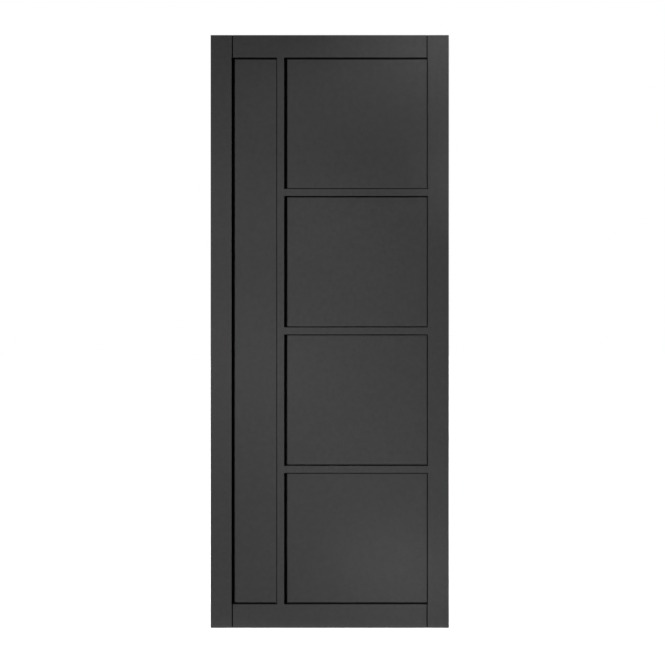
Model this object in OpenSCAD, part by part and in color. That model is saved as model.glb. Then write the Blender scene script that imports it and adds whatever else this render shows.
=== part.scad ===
// Interior door leaf, framed and panelled: two lipped stiles, two rails, an off-centre
// mullion and three cross bars, with flat panels housed in grooves.
// +X is to the right of the shown face, which looks along -Y. +Z is up.
// The origin is at the middle of the bottom edge.

/* [Leaf] */
// Width of the leaf over both lippings
leaf_w = 820; // [720:2:926]
// Height of the leaf
leaf_h = 2040; // [1900:5:2400]
// Thickness of the leaf
leaf_t = 35; // [32:1:54]
// Bevel on the two long outer edges of each lipping
outer_bevel = 1; // [0.3:0.1:3]

/* [Frame] */
// Width of each stile, its lipping included
stile_w = 75; // [68:1:120]
// Thickness of the lipping on each long edge
lipping_t = 8; // [4:0.5:12]
// Depth of the top rail
top_rail_h = 80; // [64:1:160]
// Depth of the bottom rail
bottom_rail_h = 84; // [64:1:240]
// Width of the mullion
mullion_w = 30; // [29:1:80]
// Depth of each cross bar
bar_h = 30; // [24:1:80]
// Clear width of the tall opening beside the mullion
side_opening_w = 151; // [90:1:300]
// Bevel round every opening
bevel = 3; // [0.5:0.1:4]
// Depth of the V line where a rail meets a stile
vee_d = 2; // [0.5:0.1:3]

/* [Panels] */
// Thickness of the panels, and of the tenons that share their grooves
panel_t = 12; // [11:0.5:20]
// Depth of the groove in the edge of each frame member
groove_d = 9; // [6:0.5:10]
// Slip on each face of a panel or tenon in its groove
groove_slip = 0.1; // [0.05:0.05:0.4]
// Room for movement at the sides and top of each panel
panel_room = 1; // [0.2:0.1:3]
// Bevel that leads a panel's edges into the grooves
panel_lead = 1; // [0.2:0.1:3]
// Room for glue at the end of each tenon
tenon_room = 1; // [0.2:0.1:3]

/* [Dowels] */
// Diameter of the dowels between rails and stiles
rail_dowel_d = 10; // [6:0.5:10.5]
// Length of the dowels between rails and stiles
rail_dowel_l = 100; // [50:1:110]
// Distance between the two dowels of one joint
rail_dowel_pitch = 36; // [20:1:40]
// Diameter of the dowels at the ends of the mullion
mullion_dowel_d = 8; // [5:0.5:10]
// Length of the dowels at the ends of the mullion
mullion_dowel_l = 60; // [40:1:100]
// Slip all round a dowel in its hole
dowel_slip = 0.1; // [0.05:0.05:0.3]
// Room for glue past each end of a dowel
dowel_room = 1; // [0.2:0.1:3]
// Bevel at the ends of a dowel
dowel_bevel = 1; // [0.2:0.1:2]

/* [Hidden] */
BARS = ["lower_bar", "middle_bar", "upper_bar"];
PANELS = ["bottom_panel", "lower_panel", "upper_panel", "top_panel"];
$fn = 48;

paint_black = "#414141";
beech = "#c9ab7c";

// How far a cutting shape runs past the surface that it cuts
past = 1;

// Spans across the thickness, from the shown face to the other
faces = [-leaf_t / 2, leaf_t / 2];
tongue = [-panel_t / 2, panel_t / 2];
groove = [tongue[0] - groove_slip, tongue[1] + groove_slip];

// Edges of the frame members, from left to right and from the bottom up
leaf_x = [-leaf_w / 2, leaf_w / 2];
core_x = [leaf_x[0] + lipping_t, leaf_x[1] - lipping_t];
rail_x = [leaf_x[0] + stile_w, leaf_x[1] - stile_w];
mullion_x = [rail_x[0] + side_opening_w, rail_x[0] + side_opening_w + mullion_w];
rail_z = [bottom_rail_h, leaf_h - top_rail_h];

// The openings: one tall one, and a column of equal ones with a bar between each two
row_h = (rail_z[1] - rail_z[0] - len(BARS) * bar_h) / len(PANELS);
function row_z(i) = rail_z[0] + i * (row_h + bar_h);
side_opening = [[rail_x[0], mullion_x[0]], rail_z];
function main_opening(i) = [[mullion_x[1], rail_x[1]], [row_z(i), row_z(i) + row_h]];
openings = concat([side_opening], [for (i = [0 : len(PANELS) - 1]) main_opening(i)]);

// Reach of a stub tenon past its shoulder
tenon_l = groove_d - tenon_room;

// Heights of the rail dowels: two in the solid part of each rail, clear of its groove
bottom_rail_solid = [0, rail_z[0] - groove_d];
top_rail_solid = [rail_z[1] + groove_d, leaf_h];
rail_dowel_z = [
    for (solid = [bottom_rail_solid, top_rail_solid])
        for (side = [-1, 1])
            (solid[0] + solid[1]) / 2 + side * rail_dowel_pitch / 2
];

// A span made longer at both ends
function grow(span, by) = [span[0] - by, span[1] + by];

// A block from three spans
module block(x, y, z) {
    translate([x[0], y[0], z[0]])
        cube([x[1] - x[0], y[1] - y[0], z[1] - z[0]]);
}

// Section of an opening across the thickness: straight walls, and a bevel at both faces
module mouth_section(span) {
    flare = bevel + past;
    polygon([
        [span[0] - flare, faces[0] - past],
        [span[0], faces[0] + bevel],
        [span[0], faces[1] - bevel],
        [span[0] - flare, faces[1] + past],
        [span[1] + flare, faces[1] + past],
        [span[1], faces[1] - bevel],
        [span[1], faces[0] + bevel],
        [span[1] + flare, faces[0] - past]
    ]);
}

// An opening with its bevels mitred at the corners: the same section run both ways
module mouth(opening) {
    wide = grow(opening[0], bevel + 2 * past);
    high = grow(opening[1], bevel + 2 * past);
    intersection() {
        translate([0, 0, high[0]])
            linear_extrude(high[1] - high[0])
                mouth_section(opening[0]);
        translate([wide[1], 0, 0])
            rotate([0, -90, 0])
                linear_extrude(wide[1] - wide[0])
                    mouth_section(opening[1]);
    }
}

module mouths() {
    for (opening = openings)
        mouth(opening);
}

// The V between a rail's shoulder and its stile, on both faces
module joint_vees() {
    flare = vee_d + past;
    for (x = rail_x)
        for (z = [[-past, rail_z[0]], [rail_z[1], leaf_h + past]])
            for (side = [0, 1])
                mirror([0, side, 0])
                    translate([x, faces[0], z[0]])
                        linear_extrude(z[1] - z[0])
                            polygon([[-flare, -past], [0, vee_d], [flare, -past]]);
}

// A rod along Z, centred, with bevelled ends
module dowel(d, l) {
    rotate_extrude()
        polygon([
            [0, -l / 2],
            [d / 2 - dowel_bevel, -l / 2],
            [d / 2, -l / 2 + dowel_bevel],
            [d / 2, l / 2 - dowel_bevel],
            [d / 2 - dowel_bevel, l / 2],
            [0, l / 2]
        ]);
}

module dowel_hole(d, l) {
    cylinder(d = d + 2 * dowel_slip, h = l + 2 * dowel_room, center = true);
}

// Where the dowels lie, half in each of the two pieces that they join
module at_rail_dowels() {
    for (x = rail_x)
        for (z = rail_dowel_z)
            translate([x, 0, z])
                rotate([0, 90, 0])
                    children();
}

module at_mullion_dowels() {
    for (z = rail_z)
        translate([(mullion_x[0] + mullion_x[1]) / 2, 0, z])
            children();
}

module rail_dowel_holes() {
    at_rail_dowels()
        dowel_hole(rail_dowel_d, rail_dowel_l);
}

module mullion_dowel_holes() {
    at_mullion_dowels()
        dowel_hole(mullion_dowel_d, mullion_dowel_l);
}

// A stile's core, grooved along its whole inner edge
module stile(x, groove_x) {
    color(paint_black)
        difference() {
            block(x, faces, [0, leaf_h]);
            block(groove_x, groove, [-past, leaf_h + past]);
            mouths();
            joint_vees();
            rail_dowel_holes();
        }
}

module left_stile() {
    stile([core_x[0], rail_x[0]], [rail_x[0] - groove_d, rail_x[0] + past]);
}

module right_stile() {
    stile([rail_x[1], core_x[1]], [rail_x[1] - past, rail_x[1] + groove_d]);
}

// The strip on a stile's outer edge, which takes the hinges or the latch
module lipping() {
    color(paint_black)
        linear_extrude(leaf_h)
            polygon([
                [leaf_x[0], faces[0] + outer_bevel],
                [leaf_x[0] + outer_bevel, faces[0]],
                [core_x[0], faces[0]],
                [core_x[0], faces[1]],
                [leaf_x[0] + outer_bevel, faces[1]],
                [leaf_x[0], faces[1] - outer_bevel]
            ]);
}

module left_lipping() {
    lipping();
}

module right_lipping() {
    mirror([1, 0, 0])
        lipping();
}

// A rail between the stiles, with a stub tenon at each end and a groove in its inner edge
module rail(z, groove_z) {
    color(paint_black)
        difference() {
            union() {
                block(rail_x, faces, z);
                block(grow(rail_x, tenon_l), tongue, z);
            }
            block(grow(rail_x, groove_d), groove, groove_z);
            mouths();
            joint_vees();
            rail_dowel_holes();
            mullion_dowel_holes();
        }
}

module top_rail() {
    rail([rail_z[1], leaf_h], [rail_z[1] - past, rail_z[1] + groove_d]);
}

module bottom_rail() {
    rail([0, rail_z[0]], [rail_z[0] - groove_d, rail_z[0] + past]);
}

// The upright between the rails, grooved in both edges and tenoned at both ends
module mullion() {
    grooved = grow(rail_z, groove_d);
    color(paint_black)
        difference() {
            union() {
                block(mullion_x, faces, rail_z);
                block(mullion_x, tongue, grow(rail_z, tenon_l));
            }
            block([mullion_x[0] - past, mullion_x[0] + groove_d], groove, grooved);
            block([mullion_x[1] - groove_d, mullion_x[1] + past], groove, grooved);
            mouths();
            mullion_dowel_holes();
        }
}

// The bar above opening i, grooved in both edges and tenoned into mullion and stile
module cross_bar(i) {
    z = [row_z(i) + row_h, row_z(i + 1)];
    x = [mullion_x[1], rail_x[1]];
    grooved = grow(x, groove_d);
    color(paint_black)
        difference() {
            union() {
                block(x, faces, z);
                block(grow(x, tenon_l), tongue, z);
            }
            block(grooved, groove, [z[0] - past, z[0] + groove_d]);
            block(grooved, groove, [z[1] - groove_d, z[1] + past]);
            mouths();
        }
}

// A flat board that stands on the groove below it, with its edges bevelled on both faces
module panel(opening) {
    x = grow(opening[0], groove_d - panel_room);
    z = [opening[1][0] - groove_d, opening[1][1] + groove_d - panel_room];
    color(paint_black)
        intersection() {
            translate([0, 0, z[0]])
                linear_extrude(z[1] - z[0])
                    board_section(x);
            translate([x[1], 0, 0])
                rotate([0, -90, 0])
                    linear_extrude(x[1] - x[0])
                        board_section(z);
        }
}

// Section of a board with its four corners bevelled
module board_section(span) {
    polygon([
        [span[0], tongue[0] + panel_lead],
        [span[0] + panel_lead, tongue[0]],
        [span[1] - panel_lead, tongue[0]],
        [span[1], tongue[0] + panel_lead],
        [span[1], tongue[1] - panel_lead],
        [span[1] - panel_lead, tongue[1]],
        [span[0] + panel_lead, tongue[1]],
        [span[0], tongue[1] - panel_lead]
    ]);
}

module side_panel() {
    panel(side_opening);
}

module main_panel(i) {
    panel(main_opening(i));
}

module rail_dowels() {
    color(beech)
        at_rail_dowels()
            dowel(rail_dowel_d, rail_dowel_l);
}

module mullion_dowels() {
    color(beech)
        at_mullion_dowels()
            dowel(mullion_dowel_d, mullion_dowel_l);
}

left_stile();
right_stile();
left_lipping();
right_lipping();
top_rail();
bottom_rail();
mullion();
for (i = [0 : len(BARS) - 1])
    cross_bar(i);
side_panel();
for (i = [0 : len(PANELS) - 1])
    main_panel(i);
rail_dowels();
mullion_dowels();
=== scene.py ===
import math

import bpy
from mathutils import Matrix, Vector


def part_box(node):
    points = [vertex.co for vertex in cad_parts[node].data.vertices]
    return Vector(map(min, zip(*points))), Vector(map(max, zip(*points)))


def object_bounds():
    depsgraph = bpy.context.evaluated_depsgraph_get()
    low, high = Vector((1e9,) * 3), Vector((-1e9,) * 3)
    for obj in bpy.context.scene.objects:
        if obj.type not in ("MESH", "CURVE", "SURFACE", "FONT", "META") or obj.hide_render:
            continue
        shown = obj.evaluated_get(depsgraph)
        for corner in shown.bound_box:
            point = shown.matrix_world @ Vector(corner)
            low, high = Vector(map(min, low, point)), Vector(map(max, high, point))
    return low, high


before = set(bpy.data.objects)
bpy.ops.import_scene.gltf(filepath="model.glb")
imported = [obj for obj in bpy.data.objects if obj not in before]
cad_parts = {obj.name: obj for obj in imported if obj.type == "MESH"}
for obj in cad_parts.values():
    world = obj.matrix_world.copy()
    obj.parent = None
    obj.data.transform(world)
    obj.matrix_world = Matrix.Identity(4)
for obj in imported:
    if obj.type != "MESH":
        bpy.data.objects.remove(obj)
cad_low, cad_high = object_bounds()


# Flat panels: five fibreboards, cut square, sprayed satin black on both faces before assembly
# and slid into the grooves of the frame. Their sawn rims stay bare and are hidden in the grooves.

satin_black = (0.034, 0.034, 0.034, 1)
satin_roughness = 0.68
satin_shine = 0.4
peel_depth = 0.00015

# Scale and detail of each wave in the paint
drift_wave = (2.5, 2.0)
mottle_wave = (70.0, 3.0)
stipple_wave = (480.0, 3.0)
peel_wave = (400.0, 1.5)


def node_group(name, inputs, outputs):
    """A new shader group with its sockets: the tree, its input node and its output node."""
    tree = bpy.data.node_groups.new(name, "ShaderNodeTree")
    for socket, kind, value in inputs:
        made = tree.interface.new_socket(socket, in_out="INPUT", socket_type="NodeSocket" + kind)
        made.default_value = value
    for socket, kind in outputs:
        tree.interface.new_socket(socket, in_out="OUTPUT", socket_type="NodeSocket" + kind)
    return tree, tree.nodes.new("NodeGroupInput").outputs, tree.nodes.new("NodeGroupOutput").inputs


def combine(tree, operation, *terms):
    """The result of a Math node whose terms are sockets or numbers."""
    made = tree.nodes.new("ShaderNodeMath")
    made.operation = operation
    for socket, term in zip(made.inputs, terms):
        if isinstance(term, (int, float)):
            socket.default_value = term
        else:
            tree.links.new(term, socket)
    return made.outputs["Value"]


def noise(tree, place, scale, detail):
    """A noise texture that swings about zero."""
    made = tree.nodes.new("ShaderNodeTexNoise")
    made.inputs["Scale"].default_value = scale
    made.inputs["Detail"].default_value = detail
    tree.links.new(place, made.inputs["Vector"])
    return combine(tree, "SUBTRACT", made.outputs["Fac"], 0.5)


def tinted(tree, color, share):
    """A colour made lighter or darker by a share about one."""
    made = tree.nodes.new("ShaderNodeVectorMath")
    made.operation = "SCALE"
    tree.links.new(color, made.inputs[0])
    tree.links.new(share, made.inputs["Scale"])
    return made.outputs["Vector"]


def build_sprayed_coat():
    """A sprayed film: drift, mottle and stipple in its tone, broken gloss, and orange peel."""
    tree, given, out = node_group(
        "sprayed_coat",
        [("Paint", "Color", satin_black), ("Roughness", "Float", satin_roughness),
         ("Drift", "Float", 0.1), ("Mottle", "Float", 0.4), ("Stipple", "Float", 0.2),
         ("Gloss Break", "Float", 0.1)],
        [("Color", "Color"), ("Roughness", "Float"), ("Height", "Float")])
    place = tree.nodes.new("ShaderNodeTexCoord").outputs["Object"]
    waves = {"Drift": noise(tree, place, *drift_wave), "Mottle": noise(tree, place, *mottle_wave),
             "Stipple": noise(tree, place, *stipple_wave)}
    share = 1.0
    for name, wave in waves.items():
        share = combine(tree, "MULTIPLY_ADD", wave, given[name], share)
    tree.links.new(tinted(tree, given["Paint"], share), out["Color"])
    gloss = combine(tree, "MULTIPLY_ADD", waves["Stipple"], given["Gloss Break"], given["Roughness"])
    tree.links.new(gloss, out["Roughness"])
    tree.links.new(noise(tree, place, *peel_wave), out["Height"])
    return tree


board_brown = (0.33, 0.22, 0.12, 1)
every_way = (1, 1, 1)
bare_roughness = 0.75
bare_shine = 0.3
pore_depth = 0.0001
pore_share = 0.5
band_gloss = 0.2

# Scale and detail of the bands and pores in wood and board
band_wave = (90.0, 4.0)
pore_wave = (700.0, 2.0)


def build_timber_grain():
    """Grain that runs one way: bands of early and late wood, and the pores along them."""
    tree, given, out = node_group(
        "timber_grain",
        [("Wood", "Color", board_brown), ("Contrast", "Float", 0.5), ("Spread", "Vector", every_way)],
        [("Color", "Color"), ("Roughness", "Float"), ("Height", "Float")])
    place = tree.nodes.new("ShaderNodeVectorMath")
    place.operation = "MULTIPLY"
    tree.links.new(tree.nodes.new("ShaderNodeTexCoord").outputs["Object"], place.inputs[0])
    tree.links.new(given["Spread"], place.inputs[1])
    bands = noise(tree, place.outputs["Vector"], *band_wave)
    pores = noise(tree, place.outputs["Vector"], *pore_wave)
    share = combine(tree, "MULTIPLY_ADD", bands, given["Contrast"], 1.0)
    tree.links.new(tinted(tree, given["Wood"], share), out["Color"])
    tree.links.new(combine(tree, "MULTIPLY_ADD", bands, band_gloss, bare_roughness), out["Roughness"])
    tree.links.new(combine(tree, "MULTIPLY_ADD", pores, pore_share, bands), out["Height"])
    return tree


sprayed_coat = build_sprayed_coat()
timber_grain = build_timber_grain()


def add_group(tree, group, **values):
    """A group node in a material, with some of its inputs set."""
    made = tree.nodes.new("ShaderNodeGroup")
    made.node_tree = group
    for name, value in values.items():
        made.inputs[name].default_value = value
    return made.outputs


def add_bump(tree, shader, height, depth):
    """Relief of the given depth in metres on a shader's normal."""
    made = tree.nodes.new("ShaderNodeBump")
    made.inputs["Strength"].default_value = 1.0
    made.inputs["Distance"].default_value = depth
    tree.links.new(height, made.inputs["Height"])
    tree.links.new(made.outputs["Normal"], shader.inputs["Normal"])


def new_material(name, shine):
    """A material with one Principled shader: the material, its tree and the shader."""
    made = bpy.data.materials.new(name)
    made.use_nodes = True
    shader = made.node_tree.nodes["Principled BSDF"]
    shader.inputs["Specular IOR Level"].default_value = shine
    return made, made.node_tree, shader


def painted(name, shine=satin_shine, spread=None, grain=0.0, **coat_values):
    """Sprayed paint, over smooth board or over timber whose grain shows through a little."""
    made, tree, shader = new_material(name, shine)
    coat = add_group(tree, sprayed_coat, **coat_values)
    tree.links.new(coat["Color"], shader.inputs["Base Color"])
    tree.links.new(coat["Roughness"], shader.inputs["Roughness"])
    height = coat["Height"]
    if spread:
        wood = add_group(tree, timber_grain, Spread=spread)
        height = combine(tree, "MULTIPLY_ADD", wood["Height"], grain, height)
    add_bump(tree, shader, height, peel_depth)
    return made


def bare(name, color, spread, contrast):
    """Unpainted wood: its colour moves with the grain and it is quite matt."""
    made, tree, shader = new_material(name, bare_shine)
    wood = add_group(tree, timber_grain, Wood=color, Contrast=contrast, Spread=spread)
    tree.links.new(wood["Color"], shader.inputs["Base Color"])
    tree.links.new(wood["Roughness"], shader.inputs["Roughness"])
    add_bump(tree, shader, wood["Height"], pore_depth)
    return made


def share_faces(names, materials, choose):
    """Give each face of the pieces one of the materials, by where it lies and how it is turned."""
    for name in names:
        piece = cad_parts[name]
        turn = piece.matrix_world.to_3x3()
        piece.data.materials.clear()
        for material in materials:
            piece.data.materials.append(material)
        for face in piece.data.polygons:
            face.material_index = choose(piece.matrix_world @ face.center, turn @ face.normal)


square_on = 0.99


def panel_face(at, facing):
    """0 for the two broad faces, 1 for the sawn rim."""
    return 0 if abs(facing.y) > square_on else 1


panels = ["side_panel", "bottom_panel", "lower_panel", "upper_panel", "top_panel"]
panel_coat = painted("panel_coat", Drift=0.08)
bare_board = bare("bare_board", board_brown, every_way, contrast=0.35)
share_faces(panels, [panel_coat, bare_board], panel_face)


# Mullion and bars: slim engineered timber lengths that stand between the panels, grooved along
# both edges and tenoned at the ends. Bevels and recess walls are painted a deeper black than the faces, as
# painted shade.

outer_bevel = 0.001
glue_room = 0.001
rail_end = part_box("top_rail")[1].x

# Limits that tell the faces apart, each a hair clear of the face itself
hair = 0.0003
face_y = cad_high.y - hair
groove_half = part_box("side_panel")[1].y + hair
outer_edge = outer_bevel + hair
joint_reach = glue_room + hair


def frame_face(at, facing):
    """0 for faces and outer edges, 1 for the painted shade on bevels and recess walls and for open joint
    ends, 2 for hidden joints.
    """
    if abs(facing.y) > square_on and abs(at.y) > face_y:
        return 0
    if abs(at.x) > cad_high.x - outer_edge:
        return 0
    if not cad_low.z + outer_edge < at.z < cad_high.z - outer_edge:
        return 0
    if abs(facing.x) > square_on and abs(abs(at.x) - rail_end) < joint_reach:
        return 1
    return 2 if abs(at.y) < groove_half else 1


along_z = (1, 1, 0.04)
along_x = (0.04, 1, 1)
faint_grain = 0.6
upright_coat = painted("upright_coat", spread=along_z, grain=faint_grain)
level_coat = painted("level_coat", spread=along_x, grain=faint_grain)
# Painted shade: bevels, recess walls and V lines take a near-black paint so they read dark; the open joint
# ends take the same black.
painted_shade_black = painted("painted_shade_black", shine=0.1, Paint=(0.002, 0.002, 0.002, 1), Roughness=0.5)

core_tan = (0.52, 0.37, 0.21, 1)
core_contrast = 0.5
core_upright = bare("core_upright", core_tan, along_z, core_contrast)
core_level = bare("core_level", core_tan, along_x, core_contrast)
share_faces(["mullion"], [upright_coat, painted_shade_black, core_upright], frame_face)
bars = ["lower_bar", "middle_bar", "upper_bar"]
share_faces(bars, [level_coat, painted_shade_black, core_level], frame_face)


# Rails: the top and bottom members, one groove each, dowelled and tenoned into the stiles. A V
# line marks each shoulder. The top and bottom edges of the leaf are sprayed like the faces.

share_faces(["top_rail", "bottom_rail"], [level_coat, painted_shade_black, core_level], frame_face)


# Stiles: the two full-height uprights that close the leaf, with the groove along the inner edge
# and the outer edge left flat for the lipping to be glued on.

share_faces(["left_stile", "right_stile"], [upright_coat, painted_shade_black, core_upright], frame_face)


# Lippings: solid timber strips glued over the stiles' outer edges and planed flush, which can be
# trimmed to the opening and take screws. The coarser grain shows a little more through the paint.

coarse_grain = 1.6
lipping_coat = painted("lipping_coat", spread=along_z, grain=coarse_grain)
share_faces(["left_lipping", "right_lipping"], [lipping_coat, painted_shade_black, core_upright], frame_face)


# Dowels: beech pins with bevelled ends, glued into bores across the joints of rails, stiles and
# mullion. They are turned from bare wood and lie wholly inside the leaf.

beech_tan = (0.55, 0.38, 0.2, 1)
for name, spread in (("rail_dowels", along_x), ("mullion_dowels", along_z)):
    beech = bare(name + "_beech", beech_tan, spread, contrast=0.4)
    share_faces([name], [beech], lambda at, facing: 0)


# Studio floor and surround: a pale seamless floor that keeps a soft shadow, and white all round.
# Black drapes stand before and over the leaf: only reflections see them, so the satin stays dark.

scene = bpy.context.scene


def seen(tree):
    """1 for what the camera, a reflection or a see-through ray meets, otherwise 0."""
    path = tree.nodes.new("ShaderNodeLightPath").outputs
    either = combine(tree, "MAXIMUM", path["Is Camera Ray"], path["Is Glossy Ray"])
    return combine(tree, "MAXIMUM", either, path["Is Transmission Ray"])


ambient = 0.03
world = bpy.data.worlds.new("studio")
world.use_nodes = True
world.cycles.sampling_method = "NONE"
background = world.node_tree.nodes["Background"].inputs
background["Color"].default_value = (1, 1, 1, 1)
strength = combine(world.node_tree, "MULTIPLY_ADD", seen(world.node_tree), 1 - ambient, ambient)
world.node_tree.links.new(strength, background["Strength"])
scene.world = world


def stage_mesh(name, corners, faces, material):
    """A plain mesh that belongs to the studio and not to the object."""
    mesh = bpy.data.meshes.new(name)
    mesh.from_pydata(corners, [], faces)
    mesh.materials.append(material)
    made = bpy.data.objects.new(name, mesh)
    scene.collection.objects.link(made)
    return made


floor_white = 0.84
floor_glow = 0.36
floor_reach = 30.0
floor_paint, tree, shader = new_material("floor_paint", 0.0)
shader.inputs["Roughness"].default_value = 0.9
shader.inputs["Emission Color"].default_value = (1, 1, 1, 1)
pale = seen(tree)
tree.links.new(combine(tree, "MULTIPLY", pale, floor_white), shader.inputs["Base Color"])
tree.links.new(combine(tree, "MULTIPLY", pale, floor_glow), shader.inputs["Emission Strength"])
square = ((-1, -1), (1, -1), (1, 1), (-1, 1))
corners = [(x * floor_reach, y * floor_reach, cad_low.z) for x, y in square]
floor = stage_mesh("studio_floor", corners, [(0, 1, 2, 3)], floor_paint)

black_cloth, tree, shader = new_material("black_cloth", 0.0)
shader.inputs["Base Color"].default_value = (0, 0, 0, 1)
room = 6.0
overhang = 3.0
near = cad_low.y - 0.01
foot = cad_low.z + 0.002
profile = [(near - room, foot), (near - room, room), (near, foot), (near + overhang, room)]
corners = [(x, y, z) for x in (-room, room) for y, z in profile]
sides = [(0, 1, 5, 4), (0, 2, 3, 1), (4, 5, 7, 6), (0, 4, 6, 2), (1, 3, 7, 5)]
drapes = stage_mesh("black_drapes", corners, sides, black_cloth)
drapes.visible_camera = False
drapes.visible_diffuse = False
drapes.visible_transmission = False
drapes.visible_shadow = False


# Lamps: a tall, slim softbox at the left is the key, so the left side of each recess falls in
# crisp shadow and its top and bottom in soft shadow. Round heads beside it even out the far side,
# and two broad lights overhead wash the upper edges and lay the leaf's shadow on the floor.

lamp_turn = math.radians(44)
lamp_distance = 4.0
lamp_side = Vector((-math.sin(lamp_turn), -math.cos(lamp_turn), 0)) * lamp_distance

# Power of a flat lamp that lights a white face to level 1 from this distance and slant
white_power = math.pi ** 2 * lamp_distance ** 2 / math.cos(lamp_turn)


def hang(name, light, aim, height, side=lamp_side):
    """Hang a lamp beside what it is aimed at, out of the camera's sight."""
    made = bpy.data.objects.new(name, light)
    made.location = aim + side
    made.location.z = height
    made.rotation_euler = (aim - made.location).to_track_quat("-Z", "Y").to_euler()
    made.visible_camera = False
    scene.collection.objects.link(made)


softbox_width = 0.45
softbox_height = 3.2
softbox_middle = 0.95
for name, level, side in (("softbox", 0.70, lamp_side), ("back_softbox", 0.45, -lamp_side)):
    softbox = bpy.data.lights.new(name, "AREA")
    softbox.shape = "RECTANGLE"
    softbox.size = softbox_width
    softbox.size_y = softbox_height
    softbox.energy = level * white_power
    hang(name, softbox, Vector((0, 0, softbox_middle)), softbox_middle, side)

# A round head spreads its power all round, so it needs more for the same level on the face.
# Each head: height, aim to the right, aim up, cone in degrees, radius, level on the face
spot_gain = 4
lamps = {
    "right_low": (0.6, 0.65, 0.6, 32, 0.3, 0.4),
    "right_middle": (0.65, 0.4, 0.65, 12, 0.3, 0.1),
    "right_high": (1.85, 0.6, 1.85, 24, 0.3, 0.2),
    "foot_right": (0.6, 0.65, -0.1, 20, 0.3, 0.4),
    "foot_left": (0.6, -0.4, -0.1, 12, 0.3, 0.4),
    "corner_top": (1.9, 0.65, 2.1, 12, 0.3, 1.4),
    "middle": (1.4, -0.05, 1.4, 12, 0.3, 0.3),
    "stile_left": (0.95, -0.3, 0.95, 8, 0.1, 0.1),
    "stile_right": (1.55, 0.6, 1.55, 8, 0.1, 0.4),
    "panel_top": (1.85, -0.1, 1.85, 6, 0.1, 0.1),
    "panel_low": (0.6, 0.25, 0.2, 6, 0.1, 0.2),
}
for name, (height, aim_x, aim_z, cone, radius, level) in lamps.items():
    head = bpy.data.lights.new(name, "SPOT")
    head.spot_size = math.radians(cone)
    head.spot_blend = 1.0
    head.shadow_soft_size = radius
    head.energy = level * spot_gain * white_power
    hang(name, head, Vector((aim_x, cad_low.y, aim_z)), height)

sun_breadth = math.radians(20)
floor_sun_lean = math.radians(12)


def hang_sun(name, level, lean):
    """A broad soft light from above, square on or leaning over from the front."""
    sun = bpy.data.lights.new(name, "SUN")
    sun.energy = level * math.pi
    sun.angle = sun_breadth
    made = bpy.data.objects.new(name, sun)
    made.rotation_euler = (lean, 0, 0)
    made.visible_glossy = False
    scene.collection.objects.link(made)
    return made


hang_sun("overhead", level=0.5, lean=0)
floor_sun = hang_sun("floor_sun", level=0.45, lean=floor_sun_lean)
lit_floor = bpy.data.collections.new("lit_floor")
lit_floor.objects.link(floor)
floor_sun.light_linking.receiver_collection = lit_floor


# Camera: level, square to the shown face and a little right of its middle. Its distance gives the
# depth that the recesses show, and the lens then sets the leaf's size in the picture.

camera_distance = 2.556
camera_right = 0.0095
camera_height = 1.0165
picture_pixels = 665
pixels_per_metre = 290.6
lens = bpy.data.cameras.new("camera")
lens.sensor_fit = "HORIZONTAL"
lens.lens = lens.sensor_width * camera_distance * pixels_per_metre / picture_pixels
camera = bpy.data.objects.new("camera", lens)
camera.location = (camera_right, cad_low.y - camera_distance, camera_height)
camera.rotation_euler = (math.radians(90), 0, 0)
scene.collection.objects.link(camera)
scene.camera = camera
scene.view_settings.view_transform = "Standard"
